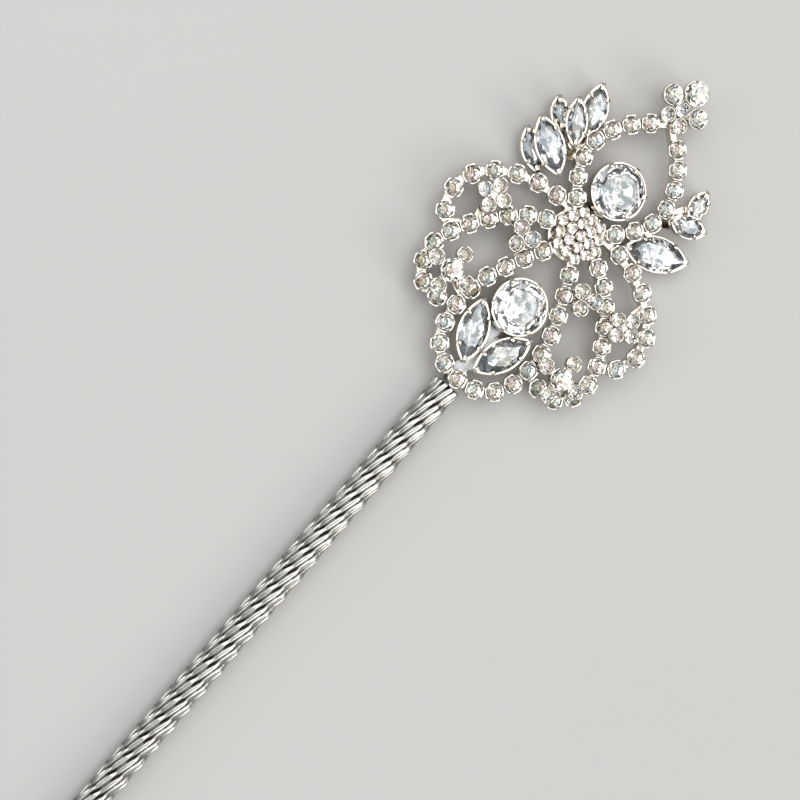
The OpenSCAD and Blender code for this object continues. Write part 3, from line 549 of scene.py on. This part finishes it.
SLEEVE_LOW, SLEEVE_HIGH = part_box("shank_sleeve")
SLEEVE_LENGTH = SLEEVE_HIGH.y - SLEEVE_LOW.y
SLEEVE_R = SLEEVE_HIGH.z
SLEEVE_BORE = 1.56 * MM
BED_DEPTH, LEAF_RISE = 0.72 * MM, 0.72 * MM
RIDGES = 12
TIER_LENGTH = 4.1 * MM
TIERS = round(SLEEVE_LENGTH / TIER_LENGTH)
RIDGE_TURN = math.radians(26)  # how far a leaf slants round the shank over one tier
RIDGE_STEPS, TIER_STEPS = 12, 14  # mesh steps over one leaf's pitch, and over one tier

# A leaf's shape: lengths along are in tiers, widths across in pitches, and heights are shares of LEAF_RISE.
LEAF_REACH = 1.3
LEAF_HALF, FOOT_PHASE, WIDTH_POWER = 0.52, 0.22, 0.7
CREASE_DEPTH, CREASE_WIDTH = 0.3, 0.2
FOOT_HEIGHT, FOOT_RISE, RISE_ENDS = 0.42, 0.58, 0.9
DROOP, DROOP_STARTS = 0.55, 0.85
CROWN_POWER = 2.2
THINNEST = 1e-3


def leaf_height(across, along):
    """Height of one leaf above its bed; across is 0 to 1 over its pitch, along 0 to LEAF_REACH to its tip."""
    if not 0 <= along <= LEAF_REACH:
        return 0.0
    phase = FOOT_PHASE + (1 - FOOT_PHASE) * along / LEAF_REACH
    half = LEAF_HALF * math.sin(math.pi * phase) ** WIDTH_POWER
    off = abs(across - 0.5) / max(half, THINNEST)
    if off >= 1:
        return 0.0
    crease = CREASE_DEPTH * math.exp(-((off / CREASE_WIDTH) ** 2))
    crowned = (1 - off ** CROWN_POWER) ** 0.5 - crease
    droop = 1 - DROOP * max(0.0, (along - DROOP_STARTS) / (LEAF_REACH - DROOP_STARTS)) ** 2
    return (FOOT_HEIGHT + FOOT_RISE * min(1.0, along / RISE_ENDS)) * crowned * droop


def shank_leaves():
    """The sleeve as tiers of crowned, creased, slanted leaves, with tips over the foot of the next tier."""
    bm = bmesh.new()
    around, rows = RIDGE_STEPS * RIDGES, TIER_STEPS * TIERS

    def ring(y, radius_at):
        """One ring of points at y along the sleeve."""
        spots = []
        for k in range(around):
            angle = math.tau * k / around
            r = radius_at(angle)
            spots.append(bm.verts.new((r * math.sin(angle), SLEEVE_LOW.y + y, r * math.cos(angle))))
        return spots

    def leaf_radius(run):
        """The radius by angle at a run in tiers: the higher of this tier's leaf and the last tier's."""
        tier = min(int(run), TIERS - 1)

        def at(angle):
            heights = []
            for t in (tier, tier - 1):
                along = run - t
                across = ((angle - RIDGE_TURN * along) * RIDGES / math.tau) % 1
                heights.append(leaf_height(across, along) if t >= 0 else 0.0)
            return min(SLEEVE_R - BED_DEPTH + LEAF_RISE * max(heights), SLEEVE_R)

        return at

    rings = [ring(0, lambda angle: SLEEVE_BORE)]
    for row in range(rows + 1):
        rings.append(ring(SLEEVE_LENGTH * row / rows, leaf_radius(TIERS * row / rows)))
    rings.append(ring(SLEEVE_LENGTH, lambda angle: SLEEVE_BORE))
    rings.append(rings[0])
    for low, high in zip(rings, rings[1:]):
        for k in range(around):
            after = (k + 1) % around
            bm.faces.new((low[k], high[k], high[after], low[after])).smooth = True
    return piece("shank_leaf_sleeve", bm, [SLEEVE], "shank_silver", "shank_sleeve")


shank_leaves()


# ---------------------------------------------------------------- studio


FLOOR_HALF = 4.0
FLOOR_GAP = 0.02 * MM


def studio_floor():
    """The paper that the pin lies on, centred under its middle."""
    bm = bmesh.new()
    bmesh.ops.create_grid(bm, x_segments=24, y_segments=24, size=FLOOR_HALF)
    mesh = bpy.data.meshes.new("studio_floor")
    bm.to_mesh(mesh)
    bm.free()
    mesh.materials.append(floor_paper())
    obj = bpy.data.objects.new("studio_floor", mesh)
    obj.location = (0, (CAD_BOX[0].y + CAD_BOX[1].y) / 2, CAD_BOX[0].z - FLOOR_GAP)
    bpy.context.collection.objects.link(obj)


def softbox(name, place, size, power, tone):
    """A rectangular softbox in watts, turned to the hub and unseen by the camera."""
    light = bpy.data.lights.new(name, "AREA")
    light.shape = "RECTANGLE"
    light.size, light.size_y = size
    light.energy = power
    light.color = colour(tone)[:3]
    obj = bpy.data.objects.new(name, light)
    obj.location = place
    obj.rotation_euler = (Vector(AIM) - Vector(place)).to_track_quat("-Z", "Y").to_euler()
    obj.visible_camera = False
    bpy.context.collection.objects.link(obj)


def studio_world():
    """Dim room light for matt surfaces; metal, glass and the camera see a white tent, greyer low down."""
    world = bpy.data.worlds.new("studio_world")
    world.use_nodes = True
    tree = world.node_tree
    tree.nodes.clear()
    way = node(tree, "ShaderNodeTexCoord").outputs["Generated"]
    rise = node(tree, "ShaderNodeSeparateXYZ", _0=way).outputs["Z"]
    tent = ramp(tree, rise, (0.0, "#D6D4D1"), (0.12, "#A4A5A8"), (0.45, "#C2C3C5"), (0.8, "#D8D9DB"))
    ray = node(tree, "ShaderNodeLightPath")
    room = node(tree, "ShaderNodeBackground", Color=colour("#C9CBCE"), Strength=0.5)
    back = node(tree, "ShaderNodeBackground", Color=tent, Strength=1.0)
    mirrored = node(
        tree, "ShaderNodeMath", {"operation": "MAXIMUM"}, _0=ray.outputs["Is Camera Ray"],
        _1=ray.outputs["Is Glossy Ray"],
    )
    seen = node(
        tree, "ShaderNodeMath", {"operation": "MAXIMUM"}, _0=mirrored.outputs[0],
        _1=ray.outputs["Is Transmission Ray"],
    )
    both = node(tree, "ShaderNodeMixShader", _0=seen.outputs[0], _1=room.outputs[0], _2=back.outputs[0])
    node(tree, "ShaderNodeOutputWorld", Surface=both.outputs[0])
    bpy.context.scene.world = world


HUB_LOW, HUB_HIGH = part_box("hub_cups")
HUB_Y = (HUB_LOW.y + HUB_HIGH.y) / 2
AIM = (0, HUB_Y, 0)

studio_floor()
studio_world()
softbox("top_softbox", (-0.2, HUB_Y + 0.12, 0.8), size=(0.9, 1.1), power=5.8, tone="#FFFFFF")
softbox("right_softbox", (0.62, HUB_Y + 0.05, 0.5), size=(0.3, 0.5), power=1.6, tone="#FFFDF9")
softbox("left_fill", (-0.6, HUB_Y - 0.45, 0.35), size=(0.3, 0.4), power=0.8, tone="#F4F7FF")

# The photograph's camera: its place, lens, and right, down and forward directions, from a fit to the pin's
# outline in the photo.
LENS, SENSOR_WIDTH = 76.96, 36
NEAREST_SEEN = 0.01
CAMERA_PLACE = (-81 * MM, HUB_Y - 60 * MM, 284.96 * MM)
VIEW_RIGHT = Vector((0.723442, 0.649208, 0.234862))
VIEW_DOWN = Vector((0.640286, -0.758154, 0.123436))
VIEW_FORWARD = Vector((0.258198, 0.061080, -0.964159))
camera_data = bpy.data.cameras.new("photo_camera")
camera_data.sensor_width = SENSOR_WIDTH
camera_data.lens = LENS
camera_data.clip_start = NEAREST_SEEN
camera = bpy.data.objects.new("photo_camera", camera_data)
view = Matrix((VIEW_RIGHT, -VIEW_DOWN, -VIEW_FORWARD)).transposed()
camera.matrix_world = Matrix.Translation(CAMERA_PLACE) @ view.to_4x4()
bpy.context.collection.objects.link(camera)
bpy.context.scene.camera = camera
bpy.context.scene.view_settings.view_transform = "Standard"

bpy.context.view_layer.update()
